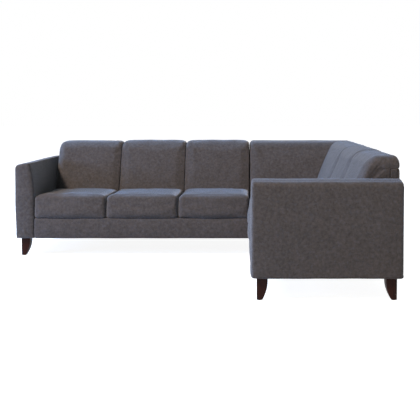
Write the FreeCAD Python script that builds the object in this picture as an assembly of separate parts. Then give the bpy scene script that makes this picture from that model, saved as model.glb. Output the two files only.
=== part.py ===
import FreeCAD, Part
import math
import os

# Corner sofa in three units: a three-seat long unit with the left arm, a corner unit, and a two-seat
# return unit with the near arm. Millimetres, +Z up. The long unit runs along X at the rear and faces
# -Y, and the return runs towards -Y on the right and faces -X. The origin is on the floor under the
# middle of the sofa.

os.makedirs("parts", exist_ok=True)
V = FreeCAD.Vector

# Driving sizes of the sofa
long_seats = 3
return_seats = 2
seat_width = 565.0
arm_width = 146.0
depth = 918.0
leg_height = 140.0
base_height = 163.0
arm_height = 598.0
back_height = 734.0
seat_thickness = 177.0
back_room = 352.0
seat_pitch = 1.4
back_rake = 22.3

# Gaps between soft pieces and their neighbours
soft_gap = 0.3
cushion_gap = 0.8
mitre_gap = 0.4

# Timber of the base
rail_thickness = 25.0
stout_thickness = 45.0
rail_height = 130.0
band_thickness = 20.0
panel_thickness = 13.0
panel_wrap = 14.0

# Elastic webbing under the seats
strap_width = 60.0
strap_thickness = 2.0
strap_gap = 0.3
strap_side_gap = 4.0
strap_ramp = 12.0
strap_count_along = 4
strap_count_across = 3
tack_length = 11.0

# Timber of the backs
post_width = 40.0
back_frame_top = 790.0
back_rail_height = 30.0
lower_rail_height = 40.0
lower_rail_rise = 60.0

# Shape of the back cushions
back_front_radius = 100.0
back_rear_radius = 35.0
back_crown = 9.0
back_end_crown = 3.0
back_crown_loss = 0.6
back_side_draw = 20.0
back_round_length = 32.0
back_top_draw = 46.0
back_rear_draw = 6.0
free_side_draw = 36.0
free_round_length = 52.0
free_top_draw = 66.0

# Shape of the seat cushions
seat_edge_radius = 30.0
seat_corner_radius = 22.0
seat_rear_cut = 18.0
seat_round_length = 26.0
seat_crown = 8.0
seat_end_crown = 2.0
seat_front_bulge = 14.0
corner_front_bulge = 0.5
seat_overhang = 6.0
seat_bottom_draw = 9.0
seat_foot_rise = 14.0

# Shape of the padded front band
band_crown = 8.0
band_end_crown = 0.6
band_edge = 10.0
band_end_draw = 3.0
band_end_run = 12.0
band_full_share = 0.15

# Shape of the arms
arm_outer_drop = 38.0
arm_lean = 30.0
arm_lean_height = 251.0
arm_inner_drop = 11.0
arm_outer_bow = 6.3
arm_inner_round = 12.0
arm_inner_bow = 3.0
arm_lean_share = 0.25
arm_top_crown = 8.5
arm_edge_radius = 18.0
arm_wall = 32.0
arm_frame_width = 72.0
arm_pad_top = 48.0
arm_frame_rail = 40.0

# Legs, glides and joining plates
leg_top = 66.0
leg_foot = 33.0
leg_shoulder = 20.0
leg_inset = 35.0
glide_height = 4.0
glide_radius = 12.0
bolt_radius = 4.0
bolt_clearance = 0.2
bolt_in_leg = 45.0
bolt_in_frame = 30.0
support_width = 42.0
support_collar = 10.0
support_stem = 36.0
support_foot = 28.0
plate_length = 120.0
plate_width = 30.0
plate_thickness = 3.0
plate_hole_radius = 2.5
plate_inset = 150.0
dust_sheet = 1.2
dust_margin = 6.0
dust_clearance = 2.0
block_size = 95.0
block_height = 60.0

# Angles of the sections that round the end of a cushion, and the shares of its length in between
END_ANGLES = (18.0, 48.0, 90.0)
MIDDLE_SHARES = (0.3, 0.7)

# Screw holes of a joining plate as shares of its length, one on each side of the joint
PLATE_HOLES = (-0.3, 0.3)

# Turns of the legs, and how far a cutting tool reaches beyond the piece
quarter_turn = 90.0
cut_margin = 1.0

# Levels and places worked out from the driving sizes
base_bottom = leg_height
base_top = leg_height + base_height
rail_top = base_bottom + rail_height
strap_rise = strap_thickness + strap_gap
deck_bottom = rail_top + strap_rise + strap_thickness + soft_gap
deck_top = base_top - soft_gap
seat_depth = depth - back_room
arm_top = leg_height + arm_height
back_top = leg_height + back_height
seat_top = base_top + seat_thickness
seat_rear_top = seat_top - seat_depth * math.tan(math.radians(seat_pitch))
panel_front = depth - panel_thickness
stout_front = panel_front - stout_thickness
rail_front = band_thickness
long_run = arm_width + long_seats * seat_width
return_run = return_seats * seat_width + arm_width
left_x = -(long_run + depth) / 2.0
front_y = (depth + return_run) / 2.0 - depth
corner_x = left_x + long_run


def box(x0, x1, y0, y1, z0, z1):
    return Part.makeBox(x1 - x0, y1 - y0, z1 - z0, V(x0, y0, z0))


def line(a, b):
    return Part.LineSegment(a, b).toShape()


def arc(a, middle, b):
    return Part.Arc(a, middle, b).toShape()


def loft(wires):
    return Part.makeLoft(wires, True, True)


def polygon_prism(points, z0, z1):
    corners = [V(x, y, z0) for x, y in points]
    face = Part.Face(Part.makePolygon(corners + corners[:1]))
    return face.extrude(V(0, 0, z1 - z0))


def cylinder(x, y, z0, z1, radius):
    return Part.makeCylinder(radius, z1 - z0, V(x, y, z0))


# Places of the three units. A unit is drawn with u to its right, v to its rear, and the corner of its
# front left foot at zero.

def in_long(shape):
    placed = shape.copy()
    placed.translate(V(left_x, front_y, 0))
    return placed


def in_corner(shape):
    placed = shape.copy()
    placed.translate(V(corner_x, front_y, 0))
    return placed


def in_return(shape):
    placed = shape.copy()
    placed.rotate(V(0, 0, 0), V(0, 0, 1), -quarter_turn)
    placed.translate(V(corner_x, front_y, 0))
    return placed


# The face of the back leans from the rear of the seat to the top

def back_face(z):
    return seat_depth + (z - seat_rear_top) * math.tan(math.radians(back_rake))


# Ways to end a back cushion: beside another cushion, free, or plain where it runs on into a cut. Each
# gives the run of its rounding, its drop at the top and its draw at the face.
JOINED = (back_round_length, back_top_draw, back_side_draw)
FREE = (free_round_length, free_top_draw, free_side_draw)
PLAIN = (0.0, 0.0, 0.0)


def end_rounding():
    """Shares of the run and of the draw at each section of a rounded end, from its tip to the middle."""
    turns = [math.radians(angle) for angle in END_ANGLES]
    return [(1 - math.cos(turn), 1 - math.sin(turn)) for turn in turns]


def crown_between(along, width, at_end, in_middle):
    share = min(along, width - along) / (width / 2.0)
    return at_end + (in_middle - at_end) * math.sqrt(max(share, 0.0))


# Back cushions

def back_section(u, top_drop, shift, rear_draw, crown):
    """One upright section of a back: leaning crowned face, round top and a rear that laps over the frame."""
    rake = math.radians(back_rake)
    top = back_top - top_drop
    rear = depth - rear_draw
    inner = stout_front - soft_gap
    step = back_frame_top + soft_gap
    tangent = back_front_radius * math.tan((math.pi / 2 - rake) / 2)
    corner = back_face(top) + shift
    normal = V(0, -math.cos(rake), math.sin(rake))
    foot = V(u, back_face(base_top) + shift, base_top)
    start = V(u, corner - tangent * math.sin(rake), top - tangent * math.cos(rake))
    end = V(u, corner + tangent, top)
    centre = V(u, corner + tangent, top - back_front_radius)
    bisector = (normal + V(0, 0, 1)).normalize()
    belly = (foot + start) * 0.5 + normal * crown
    rear_centre = V(u, rear - back_rear_radius, top - back_rear_radius)
    rear_middle = rear_centre + V(0, 1, 1).normalize() * back_rear_radius
    edges = [
        arc(foot, belly, start),
        arc(start, centre + bisector * back_front_radius, end),
        line(end, V(u, rear - back_rear_radius, top)),
        arc(V(u, rear - back_rear_radius, top), rear_middle, V(u, rear, top - back_rear_radius)),
        line(V(u, rear, top - back_rear_radius), V(u, rear, step)),
        line(V(u, rear, step), V(u, inner, step)),
        line(V(u, inner, step), V(u, inner, base_top)),
        line(V(u, inner, base_top), foot),
    ]
    return Part.Wire(edges)


def back_cushion(start, width, near=JOINED, far=JOINED):
    """A back lofted through sections that draw in towards its ends."""
    stations = [(run * near[0], draw, near) for run, draw in end_rounding()]
    stations += [(width * share, 0.0, PLAIN) for share in MIDDLE_SHARES]
    stations += [(width - run * far[0], draw, far) for run, draw in end_rounding()[::-1]]
    if far is PLAIN:
        stations = stations[: -len(END_ANGLES)] + [(width, 0.0, PLAIN)]
    wires = []
    for along, draw, (run, top_draw, side_draw) in stations:
        crown = crown_between(along, width, back_end_crown, back_crown) * (1 - back_crown_loss * draw)
        wires.append(
            back_section(start + along, draw * top_draw, draw * side_draw, draw * back_rear_draw, crown)
        )
    return loft(wires)


def corner_back():
    """The rear half of the mitred pair; its twin is the mirror image across the mitre."""
    whole = back_cushion(cushion_gap, depth - cushion_gap, JOINED, PLAIN)
    reach = 2 * depth
    beyond = polygon_prism(
        [(-reach - mitre_gap, -reach), (reach - mitre_gap, reach), (reach, -reach)],
        0,
        back_top + cut_margin,
    )
    return whole.cut(beyond)


# Seat cushions

def seat_rear(z):
    """How far back a seat cushion reaches at a height: up to the crowned face of the back, less a gap."""
    return back_face(z) - back_crown - cushion_gap


def seat_section(u, front, bulge, draw, crown):
    """One upright section of a seat cushion: full front, crowned top that falls to the rear, leaning rear."""
    fall = math.tan(math.radians(seat_pitch))
    rake = math.radians(back_rake)
    r = seat_edge_radius
    shift = draw * seat_corner_radius
    nose = front + shift
    top = seat_top - draw * r
    foot = base_top + seat_foot_rise
    rear = (seat_rear(top) - shift) / (1 + fall * math.tan(rake))
    corner = V(u, rear, top - rear * fall)
    forward = V(0, -math.cos(math.atan(fall)), math.sin(math.atan(fall)))
    down = V(0, -math.sin(rake), -math.cos(rake))
    ridge = corner + forward * seat_rear_cut
    knee = corner + down * seat_rear_cut
    brow = V(u, nose + r, top - (nose + r) * fall)
    edge = V(u, nose, top - r)
    edge_middle = V(u, nose + r * (1 - math.sqrt(0.5)), top - r * (1 - math.sqrt(0.5)))
    toe = V(u, nose, foot)
    belly = (toe + edge) * 0.5 - V(0, bulge, 0)
    crest = (brow + ridge) * 0.5 + V(0, 0, crown)
    sole_front = V(u, nose + seat_bottom_draw, base_top)
    sole_rear = V(u, seat_rear(base_top) - shift, base_top)
    edges = [
        line(sole_rear, sole_front),
        line(sole_front, toe),
        arc(toe, belly, edge),
        arc(edge, edge_middle, brow),
        arc(brow, crest, ridge),
        line(ridge, knee),
        line(knee, sole_rear),
    ]
    return Part.Wire(edges)


def seat_body(start, width, front, bulge, far_rounded=True):
    """A seat cushion lofted through upright sections, with rounded ends."""
    stations = [(run * seat_round_length, draw) for run, draw in end_rounding()]
    stations += [(width * share, 0.0) for share in MIDDLE_SHARES]
    if far_rounded:
        stations += [(width - run * seat_round_length, draw) for run, draw in end_rounding()[::-1]]
    else:
        stations.append((width, 0.0))
    wires = []
    for along, draw in stations:
        crown = crown_between(along, width, seat_end_crown, seat_crown)
        fullness = crown_between(along, width, bulge / 2.0, bulge)
        wires.append(seat_section(start + along, front, fullness, draw, crown * (1 - draw)))
    return loft(wires)


def seat_cushion(start):
    return seat_body(start + cushion_gap, seat_width - 2 * cushion_gap, -seat_overhang, seat_front_bulge)


def corner_seat_cushion():
    """The corner seat leans against a back on two sides, so its far end is cut to the same rake."""
    reach = seat_rear(seat_top)
    whole = seat_body(cushion_gap, reach, cushion_gap, corner_front_bulge, False)
    low = base_top - cut_margin
    high = seat_top + seat_crown + cut_margin
    corners = [
        V(seat_rear(low), 0, low),
        V(seat_rear(high), 0, high),
        V(depth, 0, high),
        V(depth, 0, low),
    ]
    beyond = Part.Face(Part.makePolygon(corners + corners[:1])).extrude(V(0, depth, 0))
    return whole.cut(beyond)


# Arms

def arm_section(v, draw):
    """One upright section across an arm, outer face at u = 0 and the inner face leaning back at the top."""
    outer = draw
    inner = arm_width - draw
    top = arm_top - draw
    bend = arm_top - arm_inner_drop - arm_lean_height
    round_foot = V(outer, v, top - arm_outer_drop)
    turn = V(outer + arm_outer_drop, v, top - arm_inner_drop)
    round_middle = (round_foot + turn) * 0.5 + V(-1, 0, 1) * arm_outer_bow
    crest = V(inner - arm_lean - arm_inner_round, v, top)
    rise = V((turn.x + crest.x) / 2.0, v, turn.z + arm_top_crown)
    shoulder = V(inner - arm_lean, v, top - arm_inner_drop)
    knuckle = (crest + shoulder) * 0.5 + V(1, 0, 1) * arm_inner_bow
    low = V(inner, v, bend)
    half = V(inner - arm_lean * arm_lean_share, v, (shoulder.z + bend) / 2.0)
    edges = [
        line(V(outer, v, base_bottom), round_foot),
        arc(round_foot, round_middle, turn),
        arc(turn, rise, crest),
        arc(crest, knuckle, shoulder),
        arc(shoulder, half, low),
        line(low, V(inner, v, base_bottom)),
        line(V(inner, v, base_bottom), V(outer, v, base_bottom)),
    ]
    return Part.Wire(edges)


def arm_stations():
    stations = [(run * arm_edge_radius, draw * arm_edge_radius) for run, draw in end_rounding()]
    rear = [(depth - along, draw) for along, draw in stations]
    return stations + rear[::-1]


def arm_hollow():
    return (arm_wall, arm_wall + arm_frame_width, arm_wall, depth - arm_wall, arm_top - arm_pad_top)


def arm_cover():
    u0, u1, v0, v1, top = arm_hollow()
    body = loft([arm_section(v, draw) for v, draw in arm_stations()])
    low = base_bottom - cut_margin
    hollow = box(u0 - soft_gap, u1 + soft_gap, v0 - soft_gap, v1 + soft_gap, low, top + soft_gap)
    return body.cut(hollow)


def arm_frame():
    """Two posts, a foot rail and a top rail, bored for the leg bolts."""
    u0, u1, v0, v1, top = arm_hollow()
    foot = base_bottom + arm_frame_rail
    cap = top - back_rail_height
    pieces = [
        box(u0, u1, v0, v1, base_bottom, foot),
        box(u0, u1, v0, v0 + stout_thickness, foot, cap),
        box(u0, u1, v1 - stout_thickness, v1, foot, cap),
        box(u0, u1, v0, v1, cap, top),
    ]
    for u, v in arm_leg_centres():
        bore = cylinder(u, v, base_bottom, base_bottom + bolt_in_frame, bolt_radius + bolt_clearance)
        pieces[0] = pieces[0].cut(bore)
    return Part.makeCompound(pieces)


def as_near_arm(shape):
    """The left arm mirrored and set at the end of the return."""
    mirrored = shape.mirror(V(0, 0, 0), V(1, 0, 0))
    mirrored.translate(V(return_run, 0, 0))
    return mirrored


# Padded band over the front rail

def band_section(u, draw, crown):
    low = base_bottom + draw
    high = deck_top - draw
    middle = (low + high) / 2.0
    face_low = V(u, draw, low + band_edge)
    face_high = V(u, draw, high - band_edge)
    edges = [
        line(V(u, band_thickness, low), V(u, draw + band_edge, low)),
        line(V(u, draw + band_edge, low), face_low),
        arc(face_low, V(u, draw - crown, middle), face_high),
        line(face_high, V(u, draw + band_edge, high)),
        line(V(u, draw + band_edge, high), V(u, band_thickness, high)),
        line(V(u, band_thickness, high), V(u, band_thickness, low)),
    ]
    return Part.Wire(edges)


def band(start, end):
    length = end - start
    stations = [
        (cushion_gap, band_end_draw, band_end_crown),
        (band_end_run, 0.0, band_end_crown),
        (length * band_full_share, 0.0, band_crown),
    ]
    mirrored = [(length - u, draw, crown) for u, draw, crown in stations]
    return loft([band_section(start + u, draw, crown) for u, draw, crown in stations + mirrored[::-1]])


# Elastic webbing, woven over and under

def strap_outline(length, crossings, over_first):
    """Side view of a strap as a closed polygon: it lies low under a crossing strap and high over one."""
    half = strap_width / 2.0 + strap_side_gap
    ramp = strap_ramp
    path = [(-tack_length, 0.0)]
    over = over_first
    for at in crossings:
        level = strap_rise if over else 0.0
        path.append((at - half - ramp, 0.0))
        path.append((at - half, level))
        path.append((at + half, level))
        path.append((at + half + ramp, 0.0))
        over = not over
    path.append((length + tack_length, 0.0))
    flat = [p for n, p in enumerate(path) if n in (0, len(path) - 1) or not level_between(path, n)]
    return flat + [(a, z + strap_thickness) for a, z in flat[::-1]]


def level_between(path, n):
    return path[n - 1][1] == path[n][1] == path[n + 1][1]


def evenly(length, count):
    pitch = length / (count + 1)
    return [pitch * (n + 1) for n in range(count)]


def webbing_bay(u0, u1, v0, v1, along, across):
    """Straps over one opening between rails, tacked on the rails' tops."""
    us = evenly(u1 - u0, along)
    vs = evenly(v1 - v0, across)
    straps = []
    for n, u in enumerate(us):
        points = strap_outline(v1 - v0, vs, n % 2 == 0)
        corners = [V(u0 + u - strap_width / 2.0, v0 + a, rail_top + z) for a, z in points]
        face = Part.Face(Part.makePolygon(corners + corners[:1]))
        straps.append(face.extrude(V(strap_width, 0, 0)))
    for n, v in enumerate(vs):
        points = strap_outline(u1 - u0, us, n % 2 == 1)
        corners = [V(u0 + a, v0 + v - strap_width / 2.0, rail_top + z) for a, z in points]
        face = Part.Face(Part.makePolygon(corners + corners[:1]))
        straps.append(face.extrude(V(0, strap_width, 0)))
    return straps


# Base timbers and what lies on them

def cross_places(first, count):
    """Middles of the cross rails of a unit whose seats start at first."""
    return [first + seat_width * n for n in range(1, count)]


def cross_rail(u):
    half = rail_thickness / 2.0
    return box(u - half, u + half, rail_front + rail_thickness, stout_front, base_bottom, rail_top)


def side_rail(u0):
    return box(u0, u0 + rail_thickness, rail_front + rail_thickness, stout_front, base_bottom, rail_top)


def front_rail(u0, u1):
    return box(u0, u1, rail_front, rail_front + rail_thickness, base_bottom, rail_top)


def rear_rail(u0, u1):
    return box(u0, u1, stout_front, panel_front, base_bottom, rail_top)


def unit_webbing(start, seats):
    """Webbing of a unit: one bay for each seat."""
    half = rail_thickness / 2.0
    v0 = rail_front + rail_thickness
    straps = []
    for n in range(seats):
        u0 = start + seat_width * n + (rail_thickness if n == 0 else half)
        u1 = start + seat_width * (n + 1) - (rail_thickness if n == seats - 1 else half)
        straps += webbing_bay(u0, u1, v0, stout_front, strap_count_along, strap_count_across)
    return straps


def deck(u0, u1, v0):
    rear = stout_front - soft_gap
    return box(u0 + soft_gap, u1 - soft_gap, v0 + soft_gap, rear, deck_bottom, deck_top)


def back_frame(start, seats, covered_left):
    """Posts on the rear rail at every seat joint, a top rail over them and lower rails between them."""
    joints = [p - post_width / 2.0 for p in cross_places(start, seats)]
    end = start + seats * seat_width
    if covered_left:
        start = start + panel_wrap
    else:
        end = end - panel_wrap
    joints = [start] + joints + [end - post_width]
    cap = back_frame_top - back_rail_height
    low = rail_top + lower_rail_rise
    pieces = [box(u, u + post_width, stout_front, panel_front, rail_top, cap) for u in joints]
    pieces.append(box(start, end, stout_front, panel_front, cap, back_frame_top))
    for left, right in zip(joints, joints[1:]):
        rail_rear = stout_front + rail_thickness
        pieces.append(box(left + post_width, right, stout_front, rail_rear, low, low + lower_rail_height))
    return Part.makeCompound(pieces)


def outside_back(u0, u1, covered_left):
    """The padded board behind a unit, wrapped round the end of the back frame next to the arm."""
    board = box(u0, u1, panel_front, depth, base_bottom, back_frame_top)
    at = u0 if covered_left else u1 - panel_wrap
    wrap = box(at, at + panel_wrap, stout_front, panel_front, rail_top, back_frame_top)
    return board.fuse(wrap).removeSplitter()


# Legs

def leg_profile(along):
    """Side view of a leg: upright outer edge, and an inner edge that curves in towards the foot."""
    drop = leg_height - leg_shoulder - glide_height
    taper = leg_top - leg_foot
    radius = (drop * drop + taper * taper) / (2 * taper)
    half = drop / 2.0
    belly = leg_top - radius + math.sqrt(radius * radius - half * half)
    shoulder = leg_height - leg_shoulder
    outline = Part.Wire([
        line(along(0, glide_height), along(leg_foot, glide_height)),
        arc(along(leg_foot, glide_height), along(belly, shoulder - half), along(leg_top, shoulder)),
        line(along(leg_top, shoulder), along(leg_top, leg_height)),
        line(along(leg_top, leg_height), along(0, leg_height)),
        line(along(0, leg_height), along(0, glide_height)),
    ])
    return Part.Face(outline)


def leg():
    """A leg whose upright faces look to -u and -v, bored for its bolt."""
    seen_from_front = leg_profile(lambda a, z: V(a, 0, z)).extrude(V(0, leg_top, 0))
    seen_from_side = leg_profile(lambda a, z: V(0, a, z)).extrude(V(leg_top, 0, 0))
    shape = seen_from_front.common(seen_from_side)
    middle = leg_top / 2.0
    bore = cylinder(middle, middle, leg_height - bolt_in_leg, leg_height, bolt_radius + bolt_clearance)
    return shape.cut(bore)


def turned(shape, angle, u, v):
    """The leg turned about its own middle and set with that middle at u, v."""
    placed = shape.copy()
    placed.translate(V(-leg_top / 2.0, -leg_top / 2.0, 0))
    placed.rotate(V(0, 0, 0), V(0, 0, 1), angle)
    placed.translate(V(u, v, 0))
    return placed


def leg_bolt(u, v):
    return cylinder(u, v, leg_height - bolt_in_leg, leg_height + bolt_in_frame, bolt_radius)


def leg_glide(angle):
    middle = leg_foot / 2.0
    return turned(cylinder(middle, middle, 0, glide_height, glide_radius), angle, 0, 0)


def square(u, v, width, z):
    half = width / 2.0
    corners = [V(u - half, v - half, z), V(u + half, v - half, z)]
    corners += [V(u + half, v + half, z), V(u - half, v + half, z)]
    return Part.makePolygon(corners + corners[:1])


def support_leg(u, v):
    """A plain square leg where the sofa hides it: a collar under the rail and a tapered stem."""
    stem_top = leg_height - support_collar
    half = support_width / 2.0
    collar = box(u - half, u + half, v - half, v + half, stem_top, leg_height)
    stem = loft([square(u, v, support_foot, 0), square(u, v, support_stem, stem_top)])
    return collar.fuse(stem)


def arm_leg_centres():
    middle = leg_top / 2.0
    near = leg_inset + middle
    return [(near, near), (near, depth - near)]


def joining_plate(u, v, across):
    """A steel plate screwed under the rails of two units, with one hole on each side of the joint."""
    long_half, short_half = plate_length / 2.0, plate_width / 2.0
    du, dv = (long_half, short_half) if across else (short_half, long_half)
    plate = box(u - du, u + du, v - dv, v + dv, base_bottom - plate_thickness, base_bottom)
    for share in PLATE_HOLES:
        hu, hv = (plate_length * share, 0) if across else (0, plate_length * share)
        bottom = base_bottom - plate_thickness
        plate = plate.cut(cylinder(u + hu, v + hv, bottom, base_bottom, plate_hole_radius))
    return plate


# Dust covers, cut clear of the legs and plates

def dust_cover(u0, u1, v0, v1, keep_clear):
    sheet = box(u0 + dust_margin, u1 - dust_margin, v0, v1, base_bottom - dust_sheet, base_bottom)
    for x0, x1, y0, y1 in keep_clear:
        c = dust_clearance
        sheet = sheet.cut(box(x0 - c, x1 + c, y0 - c, y1 + c, base_bottom - dust_sheet, base_bottom))
    return sheet


def around(u, v, half_u, half_v=None):
    half_v = half_u if half_v is None else half_v
    return (u - half_u, u + half_u, v - half_v, v + half_v)


nodes = {}

# Long unit
nodes["long_front_rail"] = in_long(front_rail(arm_width, long_run))
nodes["long_rear_rail"] = in_long(rear_rail(arm_width, long_run))
nodes["long_left_rail"] = in_long(side_rail(arm_width))
nodes["long_right_rail"] = in_long(side_rail(long_run - rail_thickness))
for n, u in enumerate(cross_places(arm_width, long_seats), 1):
    nodes[f"long_cross_rail_{n}"] = in_long(cross_rail(u))
nodes["long_webbing"] = in_long(Part.makeCompound(unit_webbing(arm_width, long_seats)))
nodes["long_seat_deck"] = in_long(deck(arm_width, long_run, rail_front))
nodes["long_front_band"] = in_long(band(arm_width, long_run))
nodes["long_back_frame"] = in_long(back_frame(arm_width, long_seats, True))
nodes["long_outside_back"] = in_long(outside_back(arm_width, long_run, True))
for n in range(long_seats):
    start = arm_width + seat_width * n
    width = seat_width - 2 * cushion_gap
    near = FREE if n == 0 else JOINED
    nodes[f"long_back_cushion_{n + 1}"] = in_long(back_cushion(start + cushion_gap, width, near))
    nodes[f"long_seat_cushion_{n + 1}"] = in_long(seat_cushion(start))
nodes["left_arm_frame"] = in_long(arm_frame())
nodes["left_arm_cover"] = in_long(arm_cover())

# Return unit
return_end = return_seats * seat_width
nodes["return_front_rail"] = in_return(front_rail(0, return_end))
nodes["return_rear_rail"] = in_return(rear_rail(0, return_end))
nodes["return_far_rail"] = in_return(side_rail(0))
nodes["return_near_rail"] = in_return(side_rail(return_end - rail_thickness))
for n, u in enumerate(cross_places(0, return_seats), 1):
    nodes[f"return_cross_rail_{n}"] = in_return(cross_rail(u))
nodes["return_webbing"] = in_return(Part.makeCompound(unit_webbing(0, return_seats)))
nodes["return_seat_deck"] = in_return(deck(0, return_end, rail_front))
nodes["return_front_band"] = in_return(band(0, return_end))
nodes["return_back_frame"] = in_return(back_frame(0, return_seats, False))
nodes["return_outside_back"] = in_return(outside_back(0, return_end, False))
for n in range(return_seats):
    start = seat_width * n
    width = seat_width - 2 * cushion_gap
    far = FREE if n == return_seats - 1 else JOINED
    nodes[f"return_back_cushion_{n + 1}"] = in_return(back_cushion(start + cushion_gap, width, JOINED, far))
    nodes[f"return_seat_cushion_{n + 1}"] = in_return(seat_cushion(start))
nodes["near_arm_frame"] = in_return(as_near_arm(arm_frame()))
nodes["near_arm_cover"] = in_return(as_near_arm(arm_cover()))

# Corner unit: u and v both run away from the inner corner
block_low = stout_front - block_size
corner_leg = depth - leg_inset - leg_top / 2.0
block = box(block_low, stout_front, block_low, stout_front, base_bottom, base_bottom + block_height)
bore_top = base_bottom + bolt_in_frame
block_bore = cylinder(corner_leg, corner_leg, base_bottom, bore_top, bolt_radius + bolt_clearance)
nodes["corner_block"] = in_corner(block.cut(block_bore))
nodes["corner_left_rail"] = in_corner(box(0, stout_thickness, 0, stout_front, base_bottom, rail_top))
nodes["corner_near_rail"] = in_corner(
    box(stout_thickness, stout_front, 0, stout_thickness, base_bottom, rail_top)
)
nodes["corner_rear_rail"] = in_corner(rear_rail(0, panel_front))
nodes["corner_right_rail"] = in_corner(box(stout_front, panel_front, 0, stout_front, base_bottom, rail_top))
corner_bay = webbing_bay(
    stout_thickness, stout_front, stout_thickness, stout_front, strap_count_along, strap_count_along
)
nodes["corner_webbing"] = in_corner(Part.makeCompound(corner_bay))
nodes["corner_seat_deck"] = in_corner(deck(0, stout_front, 0))
nodes["corner_seat_cushion"] = in_corner(corner_seat_cushion())
rear_half = corner_back()
nodes["corner_back_cushion_1"] = in_corner(rear_half)
nodes["corner_back_cushion_2"] = in_corner(rear_half.mirror(V(0, 0, 0), V(1, -1, 0)))


def corner_back_frame():
    cap = back_frame_top - back_rail_height
    low = rail_top + lower_rail_rise
    high = low + lower_rail_height
    thin = stout_front + rail_thickness
    return Part.makeCompound([
        box(0, post_width, stout_front, panel_front, rail_top, cap),
        box(stout_front, panel_front, stout_front, panel_front, rail_top, cap),
        box(stout_front, panel_front, 0, post_width, rail_top, cap),
        box(0, panel_front, stout_front, panel_front, cap, back_frame_top),
        box(stout_front, panel_front, 0, stout_front, cap, back_frame_top),
        box(post_width, stout_front, stout_front, thin, low, high),
        box(stout_front, thin, post_width, stout_front, low, high),
    ])


def corner_outside_back():
    rear = box(0, depth, panel_front, depth, base_bottom, back_frame_top)
    side = box(panel_front, depth, 0, panel_front, base_bottom, back_frame_top)
    return rear.fuse(side).removeSplitter()


nodes["corner_back_frame"] = in_corner(corner_back_frame())
nodes["corner_outside_back"] = in_corner(corner_outside_back())

# Legs under the arms and the outer corner, with their glides and bolts
left_front, left_rear = arm_leg_centres()
near_front = (return_run - left_front[0], left_front[1])
near_rear = (return_run - left_rear[0], left_rear[1])
leg_places = {
    "left_front_leg": (in_long, left_front, 0),
    "left_rear_leg": (in_long, left_rear, -quarter_turn),
    "near_front_leg": (in_return, near_front, quarter_turn),
    "near_rear_leg": (in_return, near_rear, 2 * quarter_turn),
    "corner_leg": (in_corner, (corner_leg, corner_leg), 2 * quarter_turn),
}
glides, bolts = [], []
for name, (put, (u, v), angle) in leg_places.items():
    nodes[name] = put(turned(leg(), angle, u, v))
    glide = leg_glide(angle)
    glide.translate(V(u, v, 0))
    glides.append(put(glide))
    bolts.append(put(leg_bolt(u, v)))
nodes["leg_glides"] = Part.makeCompound(glides)
nodes["leg_bolts"] = Part.makeCompound(bolts)

# Plain support legs where the sofa hides them
under_rail = stout_front + stout_thickness / 2.0
corner_middle = stout_thickness / 2.0
long_middle = arm_width + long_seats * seat_width / 2.0
supports = [
    in_long(support_leg(long_middle, under_rail)),
    in_corner(support_leg(corner_middle, corner_middle)),
    in_corner(support_leg(corner_middle, under_rail)),
    in_corner(support_leg(under_rail, corner_middle)),
]
nodes["support_legs"] = Part.makeCompound(supports)

# Joining plates across the two joints between units
plates = [
    in_corner(joining_plate(0, plate_inset, True)),
    in_corner(joining_plate(0, stout_front - plate_inset, True)),
    in_corner(joining_plate(plate_inset, 0, False)),
    in_corner(joining_plate(stout_front - plate_inset, 0, False)),
]
nodes["joining_plates"] = Part.makeCompound(plates)

# Dust covers
half_leg = leg_top / 2.0
half_plate = plate_length / 2.0
plate_side = plate_width / 2.0
plate_places = (plate_inset, stout_front - plate_inset)
long_clear = [around(long_run, v, half_plate, plate_side) for v in plate_places]
long_clear.append(around(long_middle, under_rail, support_width / 2.0))
nodes["long_dust_cover"] = in_long(
    dust_cover(arm_width, long_run, rail_front, panel_front, long_clear)
)
return_clear = [around(0, v, half_plate, plate_side) for v in plate_places]
nodes["return_dust_cover"] = in_return(
    dust_cover(0, return_end, rail_front, panel_front, return_clear)
)
corner_clear = [around(0, v, half_plate, plate_side) for v in plate_places]
corner_clear += [around(u, 0, plate_side, half_plate) for u in plate_places]
corner_clear += [
    around(corner_middle, corner_middle, support_width / 2.0),
    around(corner_middle, under_rail, support_width / 2.0),
    around(under_rail, corner_middle, support_width / 2.0),
    around(corner_leg, corner_leg, half_leg),
]
nodes["corner_dust_cover"] = in_corner(
    dust_cover(0, panel_front, dust_margin, panel_front, corner_clear)
)

for name, shape in nodes.items():
    shape.exportStep(f"parts/{name}.step")

whole = Part.makeCompound(list(nodes.values())).BoundBox
print("nodes", len(nodes))
print("size", round(whole.XLength, 1), round(whole.YLength, 1), round(whole.ZLength, 1))
print("middle", round(whole.Center.x, 2), round(whole.Center.y, 2), "floor", round(whole.ZMin, 2))
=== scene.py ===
# %% [markdown]
# # A corner sofa in grey heather cloth
# The sofa stands as three joined units: a long one with three seats and the left arm, a square corner,
# and a short one that comes forward and ends in the near arm. Its timber, legs and metal come from the
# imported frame. Everything soft is made again here, because cloth over foam swells, rolls over its edges
# and creases, and a solid from a drawing does none of that. All lengths are in metres.

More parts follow.
